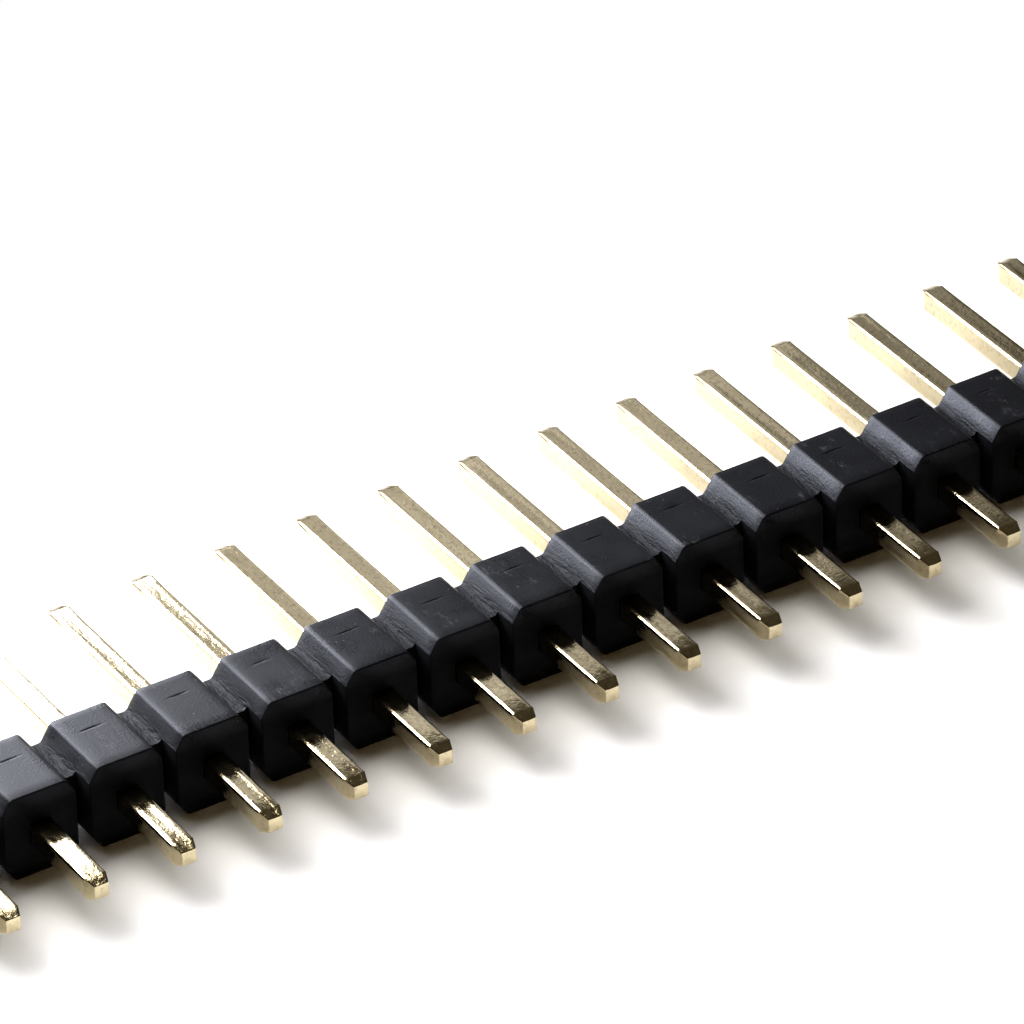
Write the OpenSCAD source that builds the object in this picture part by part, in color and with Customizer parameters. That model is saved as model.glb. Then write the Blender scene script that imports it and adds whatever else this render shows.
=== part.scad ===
// Single-row break-away pin header strip, lying on one side of its housing.
// X runs along the row, +Y is the mating side, -Y is the solder side, and Z is up.
// The origin is under the middle of the whole strip, on the surface that it lies on.

/* [Row] */
// Number of positions, each with one pin
positions = 40; // [2:1:50]
// Distance from one pin to the next, which is also the length of one block
pitch = 2.54; // [2.2:0.01:3]

/* [Housing] */
// Depth of the housing from its solder face to its mating face
housing_depth = 2.5; // [1.5:0.05:4]
// Height of the housing from the side it lies on to the side on top
housing_height = 2.5; // [2.2:0.05:4]
// Radius of the housing's four long edges
housing_edge_radius = 0.03; // [0.02:0.01:0.15]

/* [Break notches] */
// Width of a notch across its mouth
notch_mouth = 0.94; // [0.6:0.02:1.2]
// Width of the flat floor of a notch
notch_floor = 0.27; // [0.1:0.01:0.5]
// Depth of a notch
notch_depth = 0.52; // [0.3:0.02:0.7]
// Radius of the shoulders where a block's flat turns down into a notch
shoulder_radius = 0.12; // [0.03:0.01:0.2]

/* [Web slots] */
// Width of the upright slot between two blocks in the solder face
slot_width = 0.4; // [0.2:0.01:0.6]
// Depth of that slot, behind which the web that snaps holds the blocks together
slot_depth = 0.75; // [0.2:0.05:1.2]
// Radius of the slot's two inner corners
slot_corner_radius = 0.06; // [0.02:0.01:0.08]

/* [Pins] */
// Side of the square wire
wire_size = 0.64; // [0.5:0.01:0.8]
// Radius of the wire's long edges
wire_edge_radius = 0.06; // [0.02:0.01:0.12]
// Length of pin that stands out of the mating face
mating_length = 5.8; // [3:0.05:15]
// Length of pin that stands out of the solder face
tail_length = 3.1; // [2:0.05:10]
// Gap on each side between a pin and its hole, where 0 is the usual press fit
pin_clearance = 0; // [0:0.005:0.05]

/* [Pin tips] */
// Length of the coined taper at the mating tip
mating_taper = 0.34; // [0.1:0.02:0.8]
// How far each side of the mating tip leans in
mating_lean = 0.09; // [0.04:0.01:0.14]
// Length of the sheared taper at the solder tip
tail_taper = 0.34; // [0.1:0.02:0.8]
// How far each side of the solder tip leans in
tail_lean = 0.11; // [0.04:0.01:0.18]
// Length of the last steep taper that blunts the mating tip
blunt_length = 0.05; // [0.02:0.01:0.09]
// How far each side of that last taper leans in
blunt_lean = 0.04; // [0.02:0.01:0.08]

/* [Hidden] */
$fn = 32;
// How far a cutter reaches past the face that it cuts
over = 0.5;
row_length = positions * pitch;
// The whole strip is centred on Y = 0, so the housing's middle sits off it
housing_middle_y = (tail_length - mating_length) / 2;
mating_face_y = housing_middle_y + housing_depth / 2;
solder_face_y = housing_middle_y - housing_depth / 2;
mating_tip_y = mating_face_y + mating_length;
solder_tip_y = solder_face_y - tail_length;
pin_z = housing_height / 2;
wire_half = wire_size / 2;

function pin_name(n) = str("pin_", n < 10 ? "0" : "", n);

// Middle of position n along the row, where n counts from 1
function position_x(n) = (n - (positions + 1) / 2) * pitch;

// Break plane after position n, where 0 is the near end of the strip
function break_x(n) = n * pitch - row_length / 2;

// Rectangle about the origin with true arcs at its corners
module rounded_rectangle(width, height, radius) {
    flat_x = width / 2 - radius;
    flat_y = height / 2 - radius;
    square([width, 2 * flat_y], center = true);
    square([2 * flat_x, height], center = true);
    for (x = [-flat_x, flat_x], y = [-flat_y, flat_y])
        translate([x, y])
            circle(r = radius);
}

// Cross-section of the wire, grown by a gap on every side
module wire_section(gap = 0) {
    side = wire_size + 2 * gap;
    rounded_rectangle(side, side, wire_edge_radius);
}

// Turns a section drawn in X and Z into a bar that runs from y_low to y_high
module run_along_y(y_low, y_high) {
    translate([0, y_high, 0])
        rotate([90, 0, 0])
            linear_extrude(height = y_high - y_low)
                children();
}

// Outline of a pin seen from one side, with its tapered tips
module pin_outline() {
    half = wire_half;
    shoulder = half - mating_lean;
    nose = shoulder - blunt_lean;
    toe = half - tail_lean;
    polygon([
        [-half, solder_tip_y + tail_taper],
        [-toe, solder_tip_y],
        [toe, solder_tip_y],
        [half, solder_tip_y + tail_taper],
        [half, mating_tip_y - mating_taper],
        [shoulder, mating_tip_y - blunt_length],
        [nose, mating_tip_y],
        [-nose, mating_tip_y],
        [-shoulder, mating_tip_y - blunt_length],
        [-half, mating_tip_y - mating_taper],
    ]);
}

// One straight pin of square wire, tapered on four sides at both ends
module pin(n) {
    color("palegoldenrod")
        translate([position_x(n), 0, pin_z])
            intersection() {
                run_along_y(solder_tip_y - over, mating_tip_y + over)
                    wire_section();
                for_both_sides()
                    translate([0, 0, -wire_size])
                        linear_extrude(height = 2 * wire_size)
                            pin_outline();
            }
}

// The shape that its child, drawn flat, and the same child turned on edge have in common
module for_both_sides() {
    intersection() {
        children();
        rotate([0, 90, 0])
            children();
    }
}

// Profile of a notch about its own middle, with the mouth at height 0 and the floor below it
module notch_profile() {
    half_floor = notch_floor / 2;
    half_mouth = notch_mouth / 2;
    // How far a side leans from upright
    lean = atan((half_mouth - half_floor) / notch_depth);
    // Distance from a sharp shoulder to where its arc starts, on the flat and on the side alike
    tangent = shoulder_radius * tan((90 - lean) / 2);
    arc_x = half_mouth + tangent;
    side_x = half_mouth - tangent * sin(lean);
    side_z = -tangent * cos(lean);
    difference() {
        polygon([
            [-half_floor, -notch_depth],
            [half_floor, -notch_depth],
            [side_x, side_z],
            [arc_x, 0],
            [arc_x, over],
            [-arc_x, over],
            [-arc_x, 0],
            [-side_x, side_z],
        ]);
        for (x = [-arc_x, arc_x])
            translate([x, -shoulder_radius])
                circle(r = shoulder_radius);
    }
}

// Cutter for one break notch in the top of the housing
module break_notch() {
    translate([0, 0, housing_height])
        run_along_y(solder_face_y - over, mating_face_y + over)
            notch_profile();
}

// The same cutter on the side that the strip lies on
module break_notch_below() {
    translate([0, 0, housing_height])
        mirror([0, 0, 1])
            break_notch();
}

// Cutter for the slot between two blocks, from the notch on top to the one below
module web_slot() {
    translate([0, solder_face_y, -over])
        linear_extrude(height = housing_height + 2 * over)
            rounded_rectangle(slot_width, 2 * slot_depth, slot_corner_radius);
}

// The bar before it is notched, with its long edges rounded
module bar() {
    translate([-row_length / 2, housing_middle_y, pin_z])
        rotate([90, 0, 90])
            linear_extrude(height = row_length)
                rounded_rectangle(housing_depth, housing_height, housing_edge_radius);
}

// The moulded bar of blocks, notched above and below and slotted at every break plane
module housing() {
    color("#26262a")
        difference() {
            bar();
            for (n = [0 : positions])
                translate([break_x(n), 0, 0]) {
                    break_notch();
                    break_notch_below();
                    web_slot();
                }
            for (n = [1 : positions])
                translate([position_x(n), 0, pin_z])
                    run_along_y(solder_face_y - over, mating_face_y + over)
                        wire_section(pin_clearance);
        }
}

housing();
for (n = [1 : positions])
    pin(n);
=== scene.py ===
"""Single-row pin header strip that lies on its side on a pale studio floor.

The housing is one moulded bar of notched blocks, and each pin is one length of plated square wire.
Everything is in metres in the row frame: X along the row, +Y towards the mating tips, Z up.
"""

import math
import random

import bpy
import numpy as np
from mathutils import Matrix, Vector


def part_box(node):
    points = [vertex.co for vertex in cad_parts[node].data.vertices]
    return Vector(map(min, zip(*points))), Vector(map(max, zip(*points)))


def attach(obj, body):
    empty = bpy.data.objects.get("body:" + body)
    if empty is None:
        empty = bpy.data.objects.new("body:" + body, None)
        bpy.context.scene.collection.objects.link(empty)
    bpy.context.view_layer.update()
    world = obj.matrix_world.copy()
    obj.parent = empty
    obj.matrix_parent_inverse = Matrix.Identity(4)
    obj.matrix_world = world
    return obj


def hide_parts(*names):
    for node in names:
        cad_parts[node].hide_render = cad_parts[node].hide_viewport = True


bl_info = {
    "name": "Pin Header Strip",
    "version": (1, 0, 0),
    "blender": (4, 5, 0),
    "location": "3D View > Sidebar > Pin Header",
    "description": "Builds the moulded housing, the plated pins and the studio of a pin header strip",
    "category": "Add Mesh",
}

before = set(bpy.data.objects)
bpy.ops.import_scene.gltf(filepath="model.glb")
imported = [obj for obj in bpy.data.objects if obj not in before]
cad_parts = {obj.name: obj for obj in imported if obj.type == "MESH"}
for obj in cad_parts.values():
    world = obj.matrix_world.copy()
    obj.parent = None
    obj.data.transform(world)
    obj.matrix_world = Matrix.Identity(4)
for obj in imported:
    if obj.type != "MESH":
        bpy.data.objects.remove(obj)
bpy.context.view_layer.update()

MM = 0.001
PIN_NODES = sorted(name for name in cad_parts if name.startswith("pin_"))
HOUSING_LOW, HOUSING_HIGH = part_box("housing")
FIRST_PIN_LOW, FIRST_PIN_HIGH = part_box(PIN_NODES[0])
WIRE_SIZE = FIRST_PIN_HIGH.x - FIRST_PIN_LOW.x
PIN_Z = (FIRST_PIN_LOW.z + FIRST_PIN_HIGH.z) / 2
PITCH = (HOUSING_HIGH.x - HOUSING_LOW.x) / len(PIN_NODES)

# How finely the shapes are cut up, and the angle from which an edge is drawn sharp
FOOT_STEPS = 4
SHOULDER_STEPS = 4
FLAT_STEPS = 5
RIM_STEPS = 4
HOLE_STEPS = 3
WIRE_STEPS = 14
EDGE_STEPS = 4
DISH_PLACES = (0.6, 0.2, -0.2, -0.6)
SHARP_ANGLE = math.radians(31)

# Stations along a block: how many lie behind the mould marks and across them, the stretch of the
# marks and the last plain stations, both measured back from the mating face
BODY_STATIONS = 3
MARK_STATIONS = 22
MARK_NEAR, MARK_FAR = 0.7 * MM, 1.08 * MM
PLAIN_STATIONS = (0.45 * MM, 0.25 * MM)

MARK_WIDTH = 0.07 * MM
MARK_SEED = 7

# Pin holes: the gap round the wire, and the corner radius of the hole and of its mouth
HOLE_GAP = 0.002 * MM
HOLE_CORNER = 0.06 * MM
MOUTH_CORNER = 0.08 * MM

# Pin tips: the short length that softens each bend, the share of the edge radius left on a tip, and
# the stations where a taper starts, as soft lengths past its start, share of its lean and of the radius
TIP_SOFT = 0.015 * MM
TIP_EDGE = 0.3
TAPER_START = ((-1.0, 0.0, 1.0), (0.0, 0.015, 0.7), (1.0, 0.05, 0.4), (2.5, 0.12, TIP_EDGE))
PIN_SEED = 11

SCUFF_COLOR = (0.42, 0.43, 0.46, 1.0)

# Light panels: middle, width and height, in millimetres, and tint
BACK_PANEL = ((-11, 50, 30.5), 130, 43)
BACK_TINT = (0.95, 0.97, 1.06)
TOP_PANEL = ((-33, 32, 66), 90, 46)
TOP_TINT = (1.0, 0.97, 0.92)

# Room: its glow behind the strip from low to high directions, its glow in front of the strip, and
# how far a direction points to +Y where the one turns into the other
ROOM_BEHIND = ((0.0, (0.9, 0.9, 0.9, 1)), (0.03, (0.3, 0.3, 0.3, 1)), (0.2, (0.1, 0.09, 0.07, 1)))
ROOM_FRONT = (0.03, 0.017, 0.003, 1)
ROOM_TURN = (-0.1, 0.4)

# Floor: half its width, in metres
FLOOR_HALF = 4.0

# Backdrop: how far from the strip the floor starts and ends its turn to white, in millimetres,
# and how much nearer it does so past the strip's ends
BACKDROP_START, BACKDROP_END = 10, 24
BACKDROP_ENDS_NEARER = 5

# Camera: where it looks and from how far, in millimetres, and its angles in degrees
CAMERA_TARGET = (1.11, 2.96, 1.25)
CAMERA_DISTANCE = 216.9
CAMERA_AZIMUTH, CAMERA_ELEVATION, CAMERA_ROLL = 31.305, 33.745, -1.702

# Glow of the back panel: x in millimetres, and share of its radiance
KEY_LEVELS = (
    (-63, 0.0),
    (-56, 0.02),
    (-50, 0.2),
    (-44, 0.42),
    (-37, 0.8),
    (-30, 1.0),
    (-22, 0.7),
    (-8, 0.48),
    (6, 0.44),
    (9.5, 0.38),
    (11.8, 0.22),
    (13.2, 0.02),
    (18.5, 0.011),
    (22, 0.02),
    (25, 0.012),
    (27.5, 0.03),
    (32, 0.01),
    (37.5, 0.02),
    (43, 0.004),
    (47, 0.009),
    (52, 0.003),
)


# ---------------------------------------------------------------- settings


def length(name, description, value, low, high):
    """A property for a length, given in millimetres."""
    return bpy.props.FloatProperty(
        name=name,
        description=description,
        default=value * MM,
        min=low * MM,
        max=high * MM,
        precision=5,
        unit="LENGTH",
    )


def share(name, description, value):
    """A property for a share from 0 to 1."""
    return bpy.props.FloatProperty(
        name=name, description=description, default=value, min=0.0, max=1.0, subtype="FACTOR"
    )


def color(name, description, value):
    """A property for a linear colour."""
    return bpy.props.FloatVectorProperty(
        name=name, description=description, default=value, min=0.0, max=1.0, subtype="COLOR"
    )


class HousingSettings(bpy.types.PropertyGroup):
    """Sizes and finish of the moulded housing."""

    notch_mouth: length("Notch Mouth", "Width of a break notch across its mouth", 0.94, 0.6, 1.2)
    notch_floor: length("Notch Floor", "Width of a notch's floor", 0.27, 0.1, 0.5)
    notch_depth: length("Notch Depth", "Depth of a break notch", 0.52, 0.3, 0.7)
    slot_width: length("Slot Width", "Width of the slots in the solder face", 0.4, 0.3, 0.6)
    slot_depth: length("Slot Depth", "How far the webs are set back", 0.75, 0.2, 1.2)
    shoulder_radius: length("Shoulder Radius", "Radius where a flat turns into a notch", 0.16, 0.07, 0.2)
    foot_radius: length("Foot Radius", "Radius where a notch's side meets its floor", 0.12, 0.02, 0.13)
    rim_radius: length("Rim Radius", "Radius of the edges round the two long faces", 0.05, 0.02, 0.06)
    hole_lip: length("Hole Lip", "Width of the bevel round each pin hole", 0.02, 0.01, 0.08)
    plastic: color("Plastic", "Colour of the moulded plastic", (0.0028, 0.003, 0.0038))
    plastic_roughness: share("Plastic Roughness", "How matte the plastic is", 0.31)
    grain: share("Grain", "Strength of the fine moulded grain", 0.9)
    scuffs: share("Scuffs", "How much the scuffs lighten the plastic", 0.12)


class PinSettings(bpy.types.PropertyGroup):
    """Sizes and finish of the plated pins."""

    edge_radius: length("Edge Radius", "Radius of the wire's long edges", 0.085, 0.02, 0.12)
    face_dish: length("Face Dish", "How far the middle of a drawn face sinks", 0.008, 0, 0.02)
    mating_taper: length("Mating Taper", "Length of the coined taper at the mating tip", 0.34, 0.1, 0.8)
    mating_lean: length("Mating Lean", "How far each side of the mating tip leans in", 0.09, 0.04, 0.14)
    blunt_length: length("Blunt Length", "Length of the steep end of the mating tip", 0.05, 0.02, 0.09)
    blunt_lean: length("Blunt Lean", "How far that steep end leans in", 0.04, 0.02, 0.08)
    tail_taper: length("Tail Taper", "Length of the sheared taper at the solder tip", 0.34, 0.1, 0.8)
    tail_lean: length("Tail Lean", "How far each side of the solder tip leans in", 0.11, 0.04, 0.18)
    plating: color("Plating", "Colour of the gold plating", (0.53, 0.45, 0.28))
    tarnish: color("Tarnish", "Colour of the dull spots in the plating", (0.3, 0.24, 0.14))
    plating_roughness: share("Plating Roughness", "How satin the plating is", 0.11)
    mottle: share("Mottle", "Strength of the uneven drawn surface", 0.5)


class StageSettings(bpy.types.PropertyGroup):
    """Floor, light and camera."""

    floor: color("Floor", "Colour of the floor", (0.9, 0.9, 0.9))
    key_radiance: bpy.props.FloatProperty(
        name="Key Light", description="Brightness of the soft panel behind the strip", default=42.0, min=0
    )
    top_radiance: bpy.props.FloatProperty(
        name="Top Light", description="Brightness of the soft panel above and behind", default=6.5, min=0
    )
    camera_lens: bpy.props.FloatProperty(
        name="Lens", description="Focal length of the camera, in millimetres", default=284.8, min=1
    )


# ---------------------------------------------------------------- lofted meshes


def arc(centre, radius, start, end, steps, hollow=False):
    """Rows of x, z and outward normal along an arc from start to end, in degrees.

    A hollow arc has its centre on the open side, so its points lie against the normal.
    """
    side = -1 if hollow else 1
    rows = []
    for k in range(steps + 1):
        angle = math.radians(start + (end - start) * k / max(steps, 1))
        nx, nz = math.cos(angle), math.sin(angle)
        rows.append((centre[0] + side * radius * nx, centre[1] + side * radius * nz, nx, nz))
    return rows


def add_ring(vertices, points):
    """Adds the points to the vertices and returns their indices."""
    start = len(vertices)
    vertices += points
    return list(range(start, len(vertices)))


def skin(rings):
    """Faces between closed rings of the same length, each a list of vertex indices."""
    faces = []
    for near, far in zip(rings, rings[1:]):
        for i in range(len(near)):
            k = (i + 1) % len(near)
            faces.append((near[i], near[k], far[k], far[i]))
    return faces


def make_object(name, vertices, faces, flat_faces=(), material=None):
    """A mesh object with smooth faces, apart from those in flat_faces."""
    mesh = bpy.data.meshes.new(name)
    mesh.from_pydata(vertices, [], list(faces) + list(flat_faces))
    smooth = [True] * len(faces) + [False] * len(flat_faces)
    mesh.polygons.foreach_set("use_smooth", smooth)
    mesh.update()
    mesh.validate()
    mesh.set_sharp_from_angle(angle=SHARP_ANGLE)
    obj = bpy.data.objects.new(name, mesh)
    bpy.context.scene.collection.objects.link(obj)
    if material:
        mesh.materials.append(material)
    weighted = obj.modifiers.new("Weighted Normals", "WEIGHTED_NORMAL")
    weighted.keep_sharp = True
    return obj


def replace_if_there(name):
    """Removes an earlier object of that name, so that a step can be run again."""
    old = bpy.data.objects.get(name)
    if old:
        bpy.data.objects.remove(old)


# ---------------------------------------------------------------- housing


def notch_side(housing):
    """How far a notch's side leans from upright, and its outward normal's direction, in degrees."""
    lean = math.degrees(math.atan((housing.notch_mouth - housing.notch_floor) / 2 / housing.notch_depth))
    return lean, 180 - lean


def notch_half(housing):
    """Right half of a notch from its floor to its shoulder, about the break plane and the flat's level.

    The row between its two arcs lies where the wall of a slot meets the notch's side.
    """
    half_floor = housing.notch_floor / 2
    half_mouth = housing.notch_mouth / 2
    half_slot = housing.slot_width / 2
    lean, normal = notch_side(housing)
    foot = housing.foot_radius / math.tan(math.radians((90 + lean) / 2))
    foot_centre = (half_floor - foot, housing.foot_radius - housing.notch_depth)
    shoulder = housing.shoulder_radius * math.tan(math.radians((90 - lean) / 2))
    shoulder_centre = (half_mouth + shoulder, -housing.shoulder_radius)
    cut_z = (half_slot - half_mouth) / math.tan(math.radians(lean))
    rows = arc(foot_centre, housing.foot_radius, 90, normal, FOOT_STEPS, hollow=True)
    rows += arc((half_slot, cut_z), 0, normal, normal, 0)
    rows += arc(shoulder_centre, housing.shoulder_radius, normal, 90, SHOULDER_STEPS)
    return rows


def mirrored(rows):
    """The same rows on the other side of the break plane, in the order along +X."""
    return [(-x, z, -nx, nz) for x, z, nx, nz in reversed(rows)]


def upper_profile(housing, flat_stops):
    """The housing's upper outline from its left end to its right end, as rows.

    With it come the index where each position starts and the two indices where slots cut its sides.
    The strip's ends are snapped at a break plane, so they stop at the middle of a notch.
    """
    right_half = notch_half(housing)
    left_half = mirrored(right_half)
    end_radius = 1.2 * housing.rim_radius
    end_corner = arc((end_radius, -housing.notch_depth - end_radius), end_radius, 180, 90, RIM_STEPS)
    floor_middle = [(0.0, -housing.notch_depth, 0.0, 1.0)]
    profile, starts, cuts = [], [], []
    for n in range(len(PIN_NODES)):
        start = end_corner if n == 0 else floor_middle
        end = mirrored(end_corner) if n == len(PIN_NODES) - 1 else []
        near = HOUSING_LOW.x + n * PITCH
        middle, far = near + PITCH / 2, near + PITCH
        starts.append(len(profile))
        profile += [(near + x, z, nx, nz) for x, z, nx, nz in start]
        first_cut = len(profile) + FOOT_STEPS + 1
        profile += [(near + x, z, nx, nz) for x, z, nx, nz in right_half]
        profile += [(middle + x, 0.0, 0.0, 1.0) for x in flat_stops]
        cuts.append((first_cut, len(profile) + SHOULDER_STEPS + 1))
        profile += [(far + x, z, nx, nz) for x, z, nx, nz in left_half + end]
    return profile, starts, cuts


def rim_stations(y_face, inward, radius):
    """Stations of y and inset that round the rim of a long face, from the face to the full section."""
    stations = []
    for k in range(RIM_STEPS + 1):
        angle = math.radians(90 * (1 - k / RIM_STEPS))
        stations.append((y_face + inward * radius * (1 - math.sin(angle)), radius * (1 - math.cos(angle))))
    return stations


def housing_ring(rows, y, inset, marks):
    """One closed ring at a station, with rows on top and the same rows underneath."""
    upper, lower = [], []
    for x, z, nx, nz in rows:
        upper.append((x - inset * nx, y, HOUSING_HIGH.z + z - inset * nz - marks(x, y)))
        lower.append((x - inset * nx, y, HOUSING_LOW.z - z + inset * nz))
    return upper + lower[::-1]


def walled(rows, housing):
    """A block's rows with the normals at both ends mitred between the notch's side and the slot's wall."""
    side = math.radians(notch_side(housing)[1])
    mitre = math.sin(side) / (1 - math.cos(side))
    (first_x, first_z, _, _), (last_x, last_z, _, _) = rows[0], rows[-1]
    return [(first_x, first_z, -1.0, mitre)] + rows[1:-1] + [(last_x, last_z, 1.0, mitre)]


def square_loop(x, z, half, radius):
    """Rounded square about a pin's axis, as x and z, anticlockwise from the right side."""
    flat = half - radius
    points = []
    for quarter in range(4):
        corner = math.radians(45 + 90 * quarter)
        cx = x + math.copysign(flat, math.cos(corner))
        cz = z + math.copysign(flat, math.sin(corner))
        for px, pz, _, _ in arc((cx, cz), radius, 90 * quarter, 90 * (quarter + 1), HOLE_STEPS):
            points.append((px, pz))
    return points


def face_with_hole(vertices, outline, hole, facing):
    """Triangles between an outline and a hole, as vertex indices, facing towards -Y or +Y.

    Both loops run round the hole's middle the same way, so the triangles step along the two in turn.
    """
    centre_x = sum(vertices[i][0] for i in hole) / len(hole)
    centre_z = sum(vertices[i][2] for i in hole) / len(hole)

    def bearing(i):
        return math.atan2(vertices[i][2] - centre_z, vertices[i][0] - centre_x)

    loops = []
    for loop in (outline, hole):
        order = sorted(loop, key=bearing)
        loops.append([(bearing(i), i) for i in order] + [(bearing(order[0]) + 2 * math.pi, order[0])])
    outer, inner = loops
    faces = []
    a = b = 0
    while a < len(outline) or b < len(hole):
        along_outer = b == len(hole) or (a < len(outline) and outer[a + 1][0] <= inner[b + 1][0])
        tip = outer[a + 1][1] if along_outer else inner[b + 1][1]
        face = (outer[a][1], tip, inner[b][1])
        faces.append(face if facing < 0 else face[::-1])
        if along_outer:
            a += 1
        else:
            b += 1
    return faces


class BlockMarks:
    """The shallow mould marks in each block's upper flat, a little different on each block."""

    def __init__(self, seed):
        chance = random.Random(seed)
        self.slots = []
        for _ in PIN_NODES:
            self.slots.append(
                {
                    "x": chance.uniform(-0.08, 0.14) * MM,
                    "y": HOUSING_HIGH.y - chance.uniform(0.8, 0.96) * MM,
                    "half": chance.uniform(0.22, 0.32) * MM,
                    "sag": chance.uniform(0.01, 0.05) * MM,
                    "depth": chance.uniform(0.022, 0.038) * MM,
                }
            )

    def __call__(self, x, y):
        """How deep the mark lies at x and y."""
        n = min(max(int((x - HOUSING_LOW.x) / PITCH), 0), len(self.slots) - 1)
        slot = self.slots[n]
        middle = HOUSING_LOW.x + (n + 0.5) * PITCH
        u = (x - middle - slot["x"]) / slot["half"]
        ends = max(0.0, 1 - u**4)
        v = (y - slot["y"] - slot["sag"] * (1 - u * u)) / MARK_WIDTH
        return slot["depth"] * ends * max(0.0, min(1 - v, 4 * v))


def build_housing(housing, material):
    """The whole moulded bar as one closed skin, with slots between the blocks and a hole for each pin."""
    flat_half = PITCH / 2 - housing.notch_mouth / 2 - housing.shoulder_radius
    flat_stops = [flat_half * k / FLAT_STEPS for k in range(1 - FLAT_STEPS, FLAT_STEPS)]
    marks = BlockMarks(MARK_SEED)
    profile, starts, cuts = upper_profile(housing, flat_stops)
    solder_y, mating_y = HOUSING_LOW.y, HOUSING_HIGH.y
    web_y = solder_y + housing.slot_depth
    fine_start, fine_end = mating_y - MARK_FAR, mating_y - MARK_NEAR
    stations = [(y, 0.0) for y in np.linspace(web_y, fine_start, BODY_STATIONS, endpoint=False)]
    stations += [(y, 0.0) for y in np.linspace(fine_start, fine_end, MARK_STATIONS)]
    stations += [(mating_y - back, 0.0) for back in PLAIN_STATIONS]
    stations += rim_stations(mating_y, -1, housing.rim_radius)[::-1]
    vertices = []

    def loft(rows, places):
        return [add_ring(vertices, housing_ring(rows, float(y), inset, marks)) for y, inset in places]

    rings = loft(profile, stations)
    faces = skin(rings)
    flat_faces = []
    web_ring, mating_ring = rings[0], rings[-1]

    def below(i):
        return len(web_ring) - 1 - i

    block_stations = rim_stations(solder_y, 1, housing.rim_radius)
    block_stations.append((solder_y + housing.slot_depth / 2, 0.0))
    outlines = []
    for first, last in cuts:
        block_rings = loft(walled(profile[first : last + 1], housing), block_stations)
        shared = web_ring[first : last + 1] + web_ring[below(last) : below(first) + 1]
        faces += skin(block_rings + [shared])
        outlines.append(block_rings[0])
    web_edges = [0] + [i for pair in cuts for i in pair] + [len(profile) - 1]
    for left, right in zip(web_edges[::2], web_edges[1::2]):
        web = web_ring[left : right + 1] + web_ring[below(right) : below(left) + 1]
        flat_faces.append(web[::-1])
    starts.append(len(profile) - 1)
    for n, outline in enumerate(outlines):
        first, last = starts[n], starts[n + 1]
        mating_outline = mating_ring[first : last + 1] + mating_ring[below(last) : below(first) + 1]
        solder_hole, solder_faces = pin_hole(housing, vertices, outline, n, solder_y, -1)
        mating_hole, mating_faces = pin_hole(housing, vertices, mating_outline, n, mating_y, 1)
        flat_faces += solder_faces + mating_faces + skin([solder_hole, mating_hole])
    return make_object("moulded_housing", vertices, faces, flat_faces, material)


def pin_hole(housing, vertices, outline, n, y_face, facing):
    """The face within an outline, with the bevelled mouth of pin n's hole.

    Returns the hole's ring and the faces.
    """
    middle = HOUSING_LOW.x + (n + 0.5) * PITCH
    half = WIRE_SIZE / 2 + HOLE_GAP
    y_hole = y_face - facing * housing.hole_lip
    mouth = square_loop(middle, PIN_Z, half + housing.hole_lip, MOUTH_CORNER)
    mouth = add_ring(vertices, [(x, y_face, z) for x, z in mouth])
    hole = square_loop(middle, PIN_Z, half, HOLE_CORNER)
    hole = add_ring(vertices, [(x, y_hole, z) for x, z in hole])
    bevel = skin([mouth, hole])
    if facing > 0:
        bevel = [face[::-1] for face in bevel]
    return hole, face_with_hole(vertices, outline, mouth, facing) + bevel


# ---------------------------------------------------------------- pins


def wire_ring(pin, axis_x, y, lean, edge, dish, twist):
    """One ring of the wire at y, turned by its twist.

    Each side is leaned in and dished, and edge is the share of the edge radius that is left.
    """
    half = WIRE_SIZE / 2 - lean
    radius = min(edge * pin.edge_radius, 0.6 * half)
    flat = half - radius
    ring = []
    for quarter in range(4):
        turn = Matrix.Rotation(math.radians(90 * quarter) + twist, 2)
        side = [(flat + px, flat + pz) for px, pz, _, _ in arc((0, 0), radius, 0, 90, EDGE_STEPS)]
        for u in DISH_PLACES:
            side.append((u * flat, half - dish * (1 - u * u)))
        for point in side:
            turned = turn @ Vector(point)
            ring.append((axis_x + turned.x, y, PIN_Z + turned.y))
    return ring


def taper_start(y, outward, lean):
    """Stations from the full wire to the first part of a taper that starts at y."""
    stations = []
    for past, share_of_lean, edge in TAPER_START:
        stations.append((y + outward * past * TIP_SOFT, share_of_lean * lean, edge))
    return stations


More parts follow.
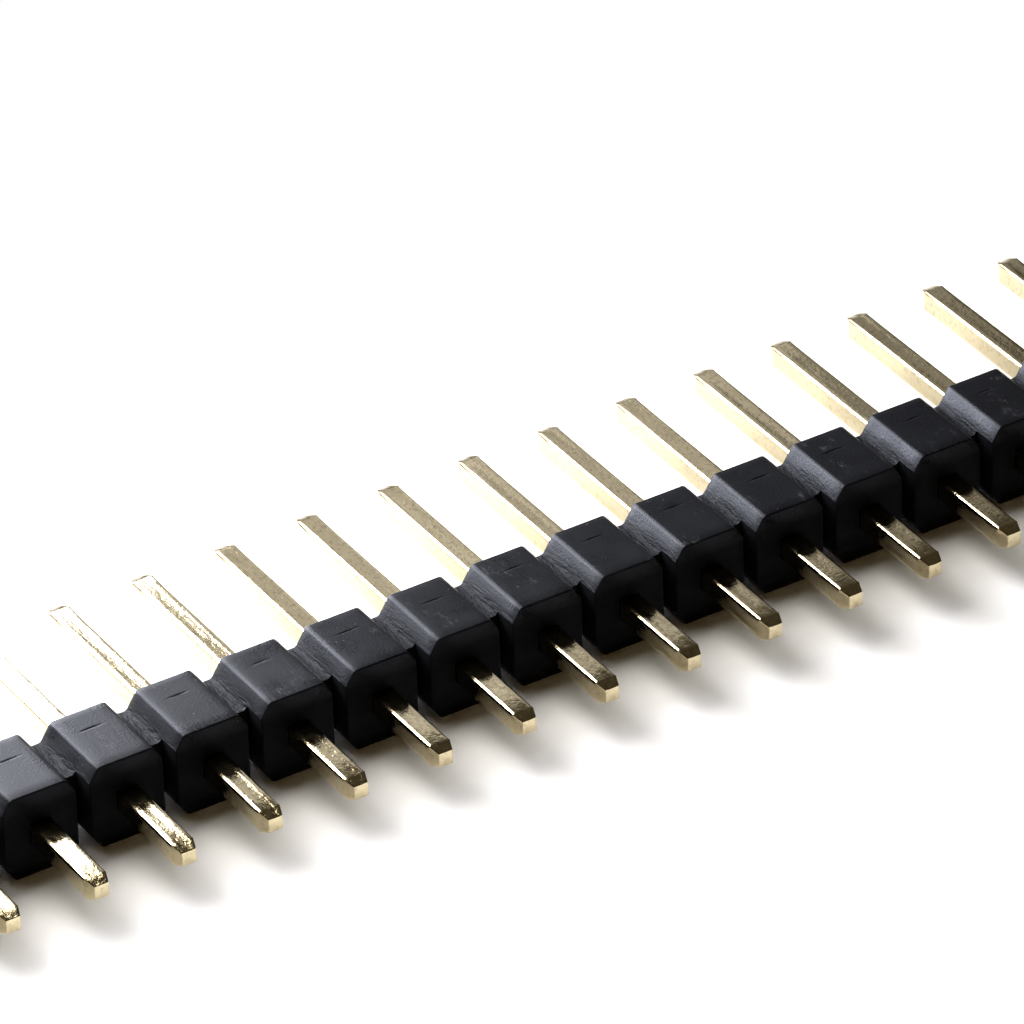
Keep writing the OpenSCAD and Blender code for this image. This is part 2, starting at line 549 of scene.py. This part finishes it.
def build_pin(pin, node, name, chance, material):
    """One pin from its solder tip to its mating tip, with both tips tapered on four sides.

    Each station holds its y, how far the sides lean in there, and the share of the edge radius left.
    """
    low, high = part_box(node)
    axis_x = (low.x + high.x) / 2
    tail_start = low.y + pin.tail_taper
    mating_start = high.y - pin.mating_taper
    nose = pin.mating_lean + pin.blunt_lean
    soft = TIP_SOFT
    stations = [
        (low.y, pin.tail_lean + soft, TIP_EDGE),
        (low.y + 0.3 * soft, pin.tail_lean + 0.3 * soft, TIP_EDGE),
        (low.y + soft, pin.tail_lean, TIP_EDGE),
        (low.y + 2.5 * soft, 0.92 * pin.tail_lean, TIP_EDGE),
    ]
    stations += taper_start(tail_start, -1, pin.tail_lean)[::-1]
    twist = math.radians(chance.uniform(-1.3, 1.3))
    dish = pin.face_dish * chance.uniform(0.2, 1.6)
    wander = pin.face_dish * 0.2
    for k in range(1, WIRE_STEPS):
        y = tail_start + (mating_start - tail_start) * k / WIRE_STEPS
        stations.append((y, wander * chance.random(), 1.0))
    stations += taper_start(mating_start, 1, pin.mating_lean)
    stations += [
        (high.y - pin.blunt_length - soft, 0.95 * pin.mating_lean, TIP_EDGE),
        (high.y - pin.blunt_length, pin.mating_lean + 0.1 * pin.blunt_lean, TIP_EDGE),
        (high.y - 0.3 * soft, nose, TIP_EDGE),
        (high.y, nose + soft, TIP_EDGE),
    ]
    vertices = []
    rings = [add_ring(vertices, wire_ring(pin, axis_x, *station, dish, twist)) for station in stations]
    faces = [face[::-1] for face in skin(rings)]
    return make_object(name, vertices, faces, [rings[0], rings[-1][::-1]], material)


# ---------------------------------------------------------------- materials


class Shading:
    """Builds one material's nodes, left to right, and links them."""

    def __init__(self, name):
        self.material = bpy.data.materials.get(name) or bpy.data.materials.new(name)
        self.material.use_nodes = True
        self.tree = self.material.node_tree
        self.tree.nodes.clear()
        self.column = 0

    def node(self, kind, inputs=None, **settings):
        """A node with its settings, and its inputs set or linked by name or number."""
        node = self.tree.nodes.new(kind)
        self.column += 1
        node.location = (180 * self.column, 0)
        for key, value in settings.items():
            setattr(node, key, value)
        for key, value in (inputs or {}).items():
            if isinstance(value, bpy.types.NodeSocket):
                self.tree.links.new(value, node.inputs[key])
            else:
                node.inputs[key].default_value = value
        return node

    def millimetres(self):
        """Place on the piece, in millimetres of the row frame."""
        place = self.node("ShaderNodeTexCoord").outputs["Object"]
        scaled = self.node("ShaderNodeVectorMath", {0: place, 1: (1 / MM,) * 3}, operation="MULTIPLY")
        return scaled.outputs["Vector"]

    def parts(self, vector):
        """The X, Y and Z outputs of a vector."""
        return self.node("ShaderNodeSeparateXYZ", {0: vector}).outputs

    def noise(self, place, per_mm, detail=2.0, stretch=(1, 1, 1), roughness=0.5):
        """Noise whose features are about 1 / per_mm millimetres, shorter where stretch is larger."""
        fitted = self.node(
            "ShaderNodeVectorMath", {0: place, 1: tuple(per_mm * s for s in stretch)}, operation="MULTIPLY"
        )
        noise = self.node(
            "ShaderNodeTexNoise",
            {"Vector": fitted.outputs["Vector"], "Scale": 1.0, "Detail": detail, "Roughness": roughness},
        )
        return noise.outputs["Fac"]

    def fit(self, value, low, high, to_low=0.0, to_high=1.0, smooth=False):
        """value mapped from low..high to to_low..to_high, and clamped."""
        node = self.node(
            "ShaderNodeMapRange",
            {"Value": value, "From Min": low, "From Max": high, "To Min": to_low, "To Max": to_high},
            interpolation_type="SMOOTHSTEP" if smooth else "LINEAR",
        )
        return node.outputs["Result"]

    def maths(self, operation, a, b=0.0):
        """One step of arithmetic."""
        return self.node("ShaderNodeMath", {0: a, 1: b}, operation=operation).outputs[0]

    def blend(self, share_socket, first, second):
        """first where the share is 0 and second where it is 1."""
        node = self.node("ShaderNodeMix", data_type="RGBA")
        for name, value in (("Factor_Float", share_socket), ("A_Color", first), ("B_Color", second)):
            socket = next(s for s in node.inputs if s.identifier == name)
            if isinstance(value, bpy.types.NodeSocket):
                self.tree.links.new(value, socket)
            else:
                socket.default_value = value
        return next(s for s in node.outputs if s.identifier == "Result_Color")

    def bump(self, height, distance, strength=1.0, normal=None):
        """Normal bent by a height that is worth distance at 1."""
        inputs = {"Height": height, "Distance": distance, "Strength": strength}
        if normal is not None:
            inputs["Normal"] = normal
        return self.node("ShaderNodeBump", inputs).outputs["Normal"]

    def finish(self, surface):
        """Links the surface to the output and returns the material."""
        self.node("ShaderNodeOutputMaterial", {"Surface": surface})
        return self.material


def rgba(value, factor=1.0):
    """A colour property as four numbers, scaled."""
    return (value[0] * factor, value[1] * factor, value[2] * factor, 1.0)


def moulded_plastic(housing):
    """Matte black plastic with a fine moulded grain, faint flow streaks, scuffs and specks.

    The notches are duller and torn, and painted shade darkens their colour. How far a point lies from
    mid-height, in millimetres, tells them from the flats: about 0.73 on a notch's floor and 1.25 on a
    flat.
    """
    shading = Shading("moulded_plastic")
    place = shading.millimetres()
    cloudy = shading.noise(place, 0.9, 3)
    grain = shading.noise(place, 16, 3, roughness=0.6)
    streaks = shading.noise(place, 4, 3, stretch=(5, 0.35, 5))
    scuff_patch = shading.noise(place, 1.1, 2)
    scuff_lines = shading.noise(place, 9, 4, stretch=(1, 0.4, 1), roughness=0.7)
    scuffs = shading.maths(
        "MULTIPLY",
        shading.fit(scuff_patch, 0.56, 0.7, smooth=True),
        shading.fit(scuff_lines, 0.5, 0.75, smooth=True),
    )
    specks = shading.fit(shading.noise(place, 7, 1), 0.77, 0.82, smooth=True)
    marks = shading.maths("MAXIMUM", scuffs, specks)
    marks = shading.maths("MULTIPLY", marks, housing.scuffs)
    facing_up = shading.parts(shading.node("ShaderNodeTexCoord").outputs["Normal"])["Z"]
    marks = shading.maths("MULTIPLY", marks, shading.fit(facing_up, 0.3, 0.9))
    mid_height = (HOUSING_HIGH.z + HOUSING_LOW.z) / 2 / MM
    level = shading.maths("SUBTRACT", shading.parts(place)["Z"], mid_height)
    level = shading.maths("ABSOLUTE", level)
    outer = shading.fit(level, 0.7, 1.1)
    mixed = shading.blend(cloudy, rgba(housing.plastic, 0.75), rgba(housing.plastic, 1.3))
    # Painted shade: the plastic's colour drops to 0.45 of itself down in the notches, where shade falls;
    # outer is 1 on the flats and 0 in a notch
    mixed = shading.blend(outer, rgba(housing.plastic, 0.45), mixed)
    mixed = shading.blend(shading.fit(grain, 0.35, 0.7, 0, 0.5), mixed, rgba(housing.plastic, 1.8))
    mixed = shading.blend(marks, mixed, SCUFF_COLOR)
    rough = housing.plastic_roughness
    roughness = shading.fit(cloudy, 0.3, 0.7, rough - 0.06, rough + 0.08)
    roughness = shading.maths("ADD", roughness, shading.fit(grain, 0.3, 0.7, -0.05, 0.05))
    roughness = shading.maths("ADD", roughness, shading.fit(level, 0.7, 1.0, 0.33, 0.0))
    normal = shading.bump(grain, 0.006 * MM, housing.grain)
    normal = shading.bump(streaks, 0.004 * MM, housing.grain, normal)
    torn = shading.noise(place, 9, 3, stretch=(1.4, 0.35, 1.4), roughness=0.6)
    in_notch = shading.fit(level, 0.75, 1.0, 1.0, 0.0)
    flatness = shading.maths("ABSOLUTE", facing_up)
    in_notch = shading.maths("MULTIPLY", in_notch, shading.fit(flatness, 0.2, 0.6))
    normal = shading.bump(torn, 0.055 * MM, in_notch, normal)
    surface = shading.node(
        "ShaderNodeBsdfPrincipled",
        {
            "Base Color": mixed,
            "Roughness": roughness,
            "IOR": 1.5,
            "Specular IOR Level": 0.105,
            "Specular Tint": (0.84, 0.88, 1.0, 1.0),
            "Normal": normal,
        },
    )
    return shading.finish(surface.outputs[0])


def gold_plating(pin):
    """Thin satin gold over drawn wire: uneven and mottled, with lengthwise lines and dull spots."""
    shading = Shading("gold_plating")
    place = shading.millimetres()
    mottle = shading.noise(place, 8, 2, stretch=(1, 0.7, 1), roughness=0.6)
    waves = shading.noise(place, 1.2, 2, stretch=(1, 0.5, 1))
    lines = shading.noise(place, 12, 2, stretch=(1, 0.06, 1))
    spots = shading.fit(shading.noise(place, 7, 3, roughness=0.65), 0.5, 0.7, smooth=True)
    spots = shading.maths("MULTIPLY", spots, 0.55)
    cloudy = shading.noise(place, 0.8, 2)
    mixed = shading.blend(shading.fit(cloudy, 0.3, 0.7), rgba(pin.plating, 0.94), rgba(pin.plating, 1.06))
    mixed = shading.blend(spots, mixed, rgba(pin.tarnish))
    rough = pin.plating_roughness
    roughness = shading.fit(mottle, 0.3, 0.75, rough - 0.03, rough + 0.06)
    normal = shading.bump(waves, 0.012 * MM, pin.mottle)
    normal = shading.bump(mottle, 0.014 * MM, pin.mottle, normal)
    normal = shading.bump(lines, 0.005 * MM, pin.mottle, normal)
    surface = shading.node(
        "ShaderNodeBsdfPrincipled",
        {"Base Color": mixed, "Metallic": 1.0, "Roughness": roughness, "Normal": normal},
    )
    return shading.finish(surface.outputs[0])


def pale_floor(stage):
    """Matte pale floor that turns into a plain white backdrop away from the strip."""
    shading = Shading("pale_floor")
    matte = shading.node("ShaderNodeBsdfDiffuse", {"Color": rgba(stage.floor)})
    backdrop = shading.node("ShaderNodeEmission", {"Color": (1, 1, 1, 1), "Strength": 1.0})
    place = shading.parts(shading.millimetres())
    strip_end = HOUSING_HIGH.x / MM - BACKDROP_ENDS_NEARER
    beside = shading.maths("SUBTRACT", shading.maths("ABSOLUTE", place["X"]), strip_end)
    across = shading.maths("ABSOLUTE", place["Y"])
    away = shading.maths("MAXIMUM", beside, across)
    far = shading.fit(away, BACKDROP_START, BACKDROP_END, smooth=True)
    path = shading.node("ShaderNodeLightPath").outputs
    seen = shading.maths("ADD", path["Is Camera Ray"], path["Is Glossy Ray"])
    seen = shading.maths("ADD", seen, path["Is Transmission Ray"])
    seen = shading.maths("MINIMUM", seen, 1.0)
    mixed = shading.node("ShaderNodeMixShader", {0: shading.maths("MULTIPLY", far, seen)})
    shading.tree.links.new(matte.outputs[0], mixed.inputs[1])
    shading.tree.links.new(backdrop.outputs[0], mixed.inputs[2])
    return shading.finish(mixed.outputs[0])


# ---------------------------------------------------------------- stage


def add_panel(name, panel, facing, radiance, tint):
    """A soft rectangular light panel that faces the given direction, with the given radiance.

    The panel is given by its middle, width and height, in millimetres.
    """
    middle, width, height = panel
    width, height = width * MM, height * MM
    data = bpy.data.lights.new(name, "AREA")
    data.shape = "RECTANGLE"
    data.size, data.size_y = width, height
    data.energy = radiance * math.pi * width * height
    data.color = tint
    obj = bpy.data.objects.new(name, data)
    bpy.context.scene.collection.objects.link(obj)
    obj.location = Vector(middle) * MM
    obj.rotation_euler = Vector(facing).to_track_quat("-Z", "Y").to_euler()
    obj.visible_camera = False
    return obj


def fade_sideways(panel, levels):
    """Gives a panel that faces -Y a glow by place.

    The levels are pairs of x in millimetres and share of the panel's radiance. Along the panel's
    width its shader counts from 0 at the +X end to 1 at the -X end.
    """
    panel.data.use_nodes = True
    tree = panel.data.node_tree
    place = tree.nodes.new("ShaderNodeNewGeometry")
    parts = tree.nodes.new("ShaderNodeSeparateXYZ")
    ramp = tree.nodes.new("ShaderNodeValToRGB")
    tree.links.new(place.outputs["Parametric"], parts.inputs[0])
    tree.links.new(parts.outputs["X"], ramp.inputs[0])
    stops = ramp.color_ramp.elements
    stops.remove(stops[0])
    for k, (x, level) in enumerate(sorted(levels, reverse=True)):
        position = 0.5 - (x * MM - panel.location.x) / panel.data.size
        stop = stops[0] if k == 0 else stops.new(position)
        stop.position = position
        stop.color = (level, level, level, 1)
    emission = next(node for node in tree.nodes if node.type == "EMISSION")
    tree.links.new(ramp.outputs[0], emission.inputs["Strength"])


def add_floor(stage):
    """A wide floor under the strip."""
    half = FLOOR_HALF
    low = HOUSING_LOW.z
    corners = [(-half, -half, low), (half, -half, low), (half, half, low), (-half, half, low)]
    mesh = bpy.data.meshes.new("studio_floor")
    mesh.from_pydata(corners, [], [(0, 1, 2, 3)])
    mesh.materials.append(pale_floor(stage))
    floor = bpy.data.objects.new("studio_floor", mesh)
    bpy.context.scene.collection.objects.link(floor)
    return floor


def add_surroundings():
    """A room that is pale and low behind the strip, and faint and warm in front of it."""
    world = bpy.data.worlds.new("studio_room")
    world.use_nodes = True
    tree = world.node_tree
    tree.nodes.clear()
    direction = tree.nodes.new("ShaderNodeTexCoord")
    parts = tree.nodes.new("ShaderNodeSeparateXYZ")
    tree.links.new(direction.outputs["Generated"], parts.inputs[0])
    behind = tree.nodes.new("ShaderNodeMapRange")
    behind.inputs["From Min"].default_value, behind.inputs["From Max"].default_value = ROOM_TURN
    tree.links.new(parts.outputs["Y"], behind.inputs["Value"])
    ramp = tree.nodes.new("ShaderNodeValToRGB")
    tree.links.new(parts.outputs["Z"], ramp.inputs[0])
    stops = ramp.color_ramp.elements
    low, middle, high = ROOM_BEHIND
    stops[0].position, stops[0].color = low
    stops[1].position, stops[1].color = high
    stops.new(middle[0]).color = middle[1]
    light = tree.nodes.new("ShaderNodeMix")
    light.data_type = "RGBA"
    light.inputs[6].default_value = ROOM_FRONT
    tree.links.new(behind.outputs[0], light.inputs[0])
    tree.links.new(ramp.outputs[0], light.inputs[7])
    background = tree.nodes.new("ShaderNodeBackground")
    output = tree.nodes.new("ShaderNodeOutputWorld")
    tree.links.new(light.outputs[2], background.inputs[0])
    tree.links.new(background.outputs[0], output.inputs[0])
    bpy.context.scene.world = world


def add_camera(stage):
    """A long lens that looks down along the row from its solder side."""
    azimuth, elevation = math.radians(CAMERA_AZIMUTH), math.radians(CAMERA_ELEVATION)
    roll = math.radians(CAMERA_ROLL)
    target = Vector(CAMERA_TARGET) * MM
    distance = CAMERA_DISTANCE * MM
    level = math.cos(elevation)
    ahead = Vector((math.sin(azimuth) * level, math.cos(azimuth) * level, -math.sin(elevation)))
    right = Vector((math.cos(azimuth), -math.sin(azimuth), 0))
    up = right.cross(ahead)
    rolled_right = right * math.cos(roll) + up * math.sin(roll)
    rolled_up = up * math.cos(roll) - right * math.sin(roll)
    data = bpy.data.cameras.new("studio_camera")
    data.lens = stage.camera_lens
    data.sensor_width = 36
    data.clip_start = 0.01
    data.clip_end = 20
    camera = bpy.data.objects.new("studio_camera", data)
    bpy.context.scene.collection.objects.link(camera)
    columns = Matrix((rolled_right, rolled_up, -ahead)).transposed()
    camera.matrix_world = Matrix.Translation(target - ahead * distance) @ columns.to_4x4()
    bpy.context.scene.camera = camera


# ---------------------------------------------------------------- steps


class HEADER_OT_mould_housing(bpy.types.Operator):
    """Builds the notched housing and finishes it in matte black plastic"""

    bl_idname = "header.mould_housing"
    bl_label = "Mould Housing"

    def execute(self, context):
        housing = context.scene.header_housing
        replace_if_there("moulded_housing")
        piece = build_housing(housing, moulded_plastic(housing))
        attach(piece, "root")
        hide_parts("housing")
        return {"FINISHED"}


class HEADER_OT_fit_pins(bpy.types.Operator):
    """Builds a plated square pin in each hole of the housing"""

    bl_idname = "header.fit_pins"
    bl_label = "Fit Pins"

    def execute(self, context):
        pin = context.scene.header_pins
        plating = gold_plating(pin)
        chance = random.Random(PIN_SEED)
        for node in PIN_NODES:
            name = "plated_" + node
            replace_if_there(name)
            piece = build_pin(pin, node, name, chance, plating)
            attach(piece, "root")
            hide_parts(node)
        return {"FINISHED"}


class HEADER_OT_set_stage(bpy.types.Operator):
    """Lays the floor, lights it softly and sets the camera"""

    bl_idname = "header.set_stage"
    bl_label = "Set Stage"

    def execute(self, context):
        stage = context.scene.header_stage
        add_floor(stage)
        add_surroundings()
        back = add_panel("back_panel", BACK_PANEL, (0, -1, 0), stage.key_radiance, BACK_TINT)
        fade_sideways(back, KEY_LEVELS)
        _, top_y, top_z = TOP_PANEL[0]
        add_panel("top_panel", TOP_PANEL, (0, -top_y, -top_z), stage.top_radiance, TOP_TINT)
        add_camera(stage)
        context.scene.view_settings.view_transform = "Standard"
        return {"FINISHED"}


class HEADER_PT_sidebar(bpy.types.Panel):
    """Lists the strip's sizes, finishes and steps"""

    bl_idname = "HEADER_PT_sidebar"
    bl_label = "Pin Header Strip"
    bl_space_type = "VIEW_3D"
    bl_region_type = "UI"
    bl_category = "Pin Header"

    def draw(self, context):
        for (group_name, _), step in zip(GROUPS, STEPS):
            group = getattr(context.scene, group_name)
            box = self.layout.box()
            for key in group.__annotations__:
                box.prop(group, key)
            box.operator(step.bl_idname)


GROUPS = (
    ("header_housing", HousingSettings),
    ("header_pins", PinSettings),
    ("header_stage", StageSettings),
)
STEPS = (HEADER_OT_mould_housing, HEADER_OT_fit_pins, HEADER_OT_set_stage)


def register():
    """Registers the settings, the steps and the panel."""
    for name, group in GROUPS:
        bpy.utils.register_class(group)
        setattr(bpy.types.Scene, name, bpy.props.PointerProperty(type=group))
    for step in STEPS:
        bpy.utils.register_class(step)
    bpy.utils.register_class(HEADER_PT_sidebar)


def unregister():
    """Takes them all out again."""
    bpy.utils.unregister_class(HEADER_PT_sidebar)
    for step in reversed(STEPS):
        bpy.utils.unregister_class(step)
    for name, group in reversed(GROUPS):
        delattr(bpy.types.Scene, name)
        bpy.utils.unregister_class(group)


def main():
    """Builds every piece and the stage."""
    register()
    bpy.ops.header.mould_housing()
    bpy.ops.header.fit_pins()
    bpy.ops.header.set_stage()


if __name__ == "__main__":
    main()
